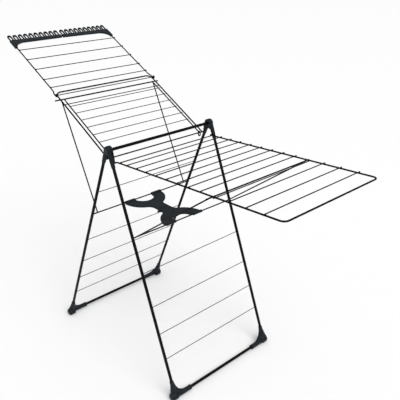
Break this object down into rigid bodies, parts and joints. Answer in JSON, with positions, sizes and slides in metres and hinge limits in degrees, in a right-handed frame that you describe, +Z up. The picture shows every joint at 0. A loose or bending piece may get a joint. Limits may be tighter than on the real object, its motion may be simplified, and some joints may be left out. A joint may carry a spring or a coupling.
{
  "type": "folding clothes drying rack",
  "caption": "Free-standing folding airer: A-frame legs with a top hinge, two propped wire wings, a lifting inner shelf, a flip-out hanger extension and a snap-over spreader",
  "frame": {"origin": "on the floor, under the middle of the overall box", "axes": "+Z up; +Y along the top tube; +X toward the long flat wing, -X toward the raised wing and its extension; the rack is symmetric about the XZ plane apart from the spreader's thumb tab"},
  "size_m": [1.6572, 0.591, 1.32],
  "materials": {
    "black_enamel": "semi-gloss black powder coat on steel tube",
    "black_wire": "black coated steel wire",
    "dark_plastic": "moulded dark slate plastic, fine satin grain"
  },
  "bodies": {
    "left_leg_frame": {"left_leg_tube_near": "black_enamel", "left_leg_tube_far": "black_enamel", "left_bottom_tube": "black_enamel", "left_foot_near": "dark_plastic", "left_foot_far": "dark_plastic", "left_leg_wires": "black_wire", "top_tube": "black_enamel", "left_hinge_cap_near": "dark_plastic", "left_hinge_cap_far": "dark_plastic"},
    "right_leg_frame": {"right_leg_tube_near": "black_enamel", "right_leg_tube_far": "black_enamel", "right_bottom_tube": "black_enamel", "right_foot_near": "dark_plastic", "right_foot_far": "dark_plastic", "right_leg_wires": "black_wire", "right_hinge_cap_near": "dark_plastic", "right_hinge_cap_far": "dark_plastic"},
    "right_wing": {"right_wing_frame": "black_wire", "right_wing_inner_bar": "black_wire", "right_wing_wires": "black_wire", "right_wing_stop_wire": "black_wire"},
    "right_strut": {"right_strut_crossbar": "black_wire", "right_strut_arms": "black_wire", "right_strut_top_bar": "black_wire"},
    "left_wing": {"left_wing_frame": "black_wire", "left_wing_pivot_rod": "black_wire", "left_wing_wire": "black_wire", "extension_pivot_wire": "black_wire"},
    "shelf": {"shelf_frame": "black_wire", "shelf_wires": "black_wire"},
    "left_strut": {"left_strut_crossbar": "black_wire", "left_strut_arms": "black_wire", "left_strut_top_bar": "black_wire"},
    "extension": {"extension_frame": "black_wire", "extension_wires": "black_wire", "hanger_comb_near": "dark_plastic", "hanger_comb_far": "dark_plastic"},
    "spreader_lock": {"spreader": "dark_plastic"}
  },
  "joints": [
    {"name": "leg_fold", "type": "hinge", "parent": "left_leg_frame", "child": "right_leg_frame", "pos_m": [-0.04128, 0, 0.98903], "axis": [0, 1, 0], "range_deg": [0, 40]},
    {"name": "spreader_release", "type": "hinge", "parent": "left_leg_frame", "child": "spreader_lock", "pos_m": [-0.18328, 0, 0.65778], "axis": [0, -1, 0], "range_deg": [0, 64]},
    {"name": "right_wing_fold", "type": "hinge", "parent": "right_leg_frame", "child": "right_wing", "pos_m": [-0.01379, 0, 0.94263], "axis": [0, 1, 0], "range_deg": [0, 70.6]},
    {"name": "right_strut_fold", "type": "hinge", "parent": "right_leg_frame", "child": "right_strut", "pos_m": [0.10071, 0, 0.65778], "axis": [0, 1, 0], "range_deg": [0, 104.8]},
    {"name": "left_wing_fold", "type": "hinge", "parent": "left_leg_frame", "child": "left_wing", "pos_m": [-0.06877, 0, 0.94263], "axis": [0, -1, 0], "range_deg": [0, 92.1]},
    {"name": "left_strut_fold", "type": "hinge", "parent": "left_leg_frame", "child": "left_strut", "pos_m": [-0.18328, 0, 0.65778], "axis": [0, -1, 0], "range_deg": [0, 130.8]},
    {"name": "shelf_lift", "type": "hinge", "parent": "left_wing", "child": "shelf", "pos_m": [-0.06877, 0, 0.94263], "axis": [0, -1, 0], "range_deg": [-75, 0]},
    {"name": "extension_flip", "type": "hinge", "parent": "left_wing", "child": "extension", "pos_m": [-0.41966, 0, 1.12624], "axis": [0, 1, 0], "range_deg": [0, 160]}
  ],
  "couplings": [
    {"joint": "spreader_release", "follows": "leg_fold", "ratio": 1.595},
    {"joint": "right_strut_fold", "follows": "right_wing_fold", "ratio": 1.4811},
    {"joint": "left_strut_fold", "follows": "left_wing_fold", "ratio": 1.418}
  ]
}
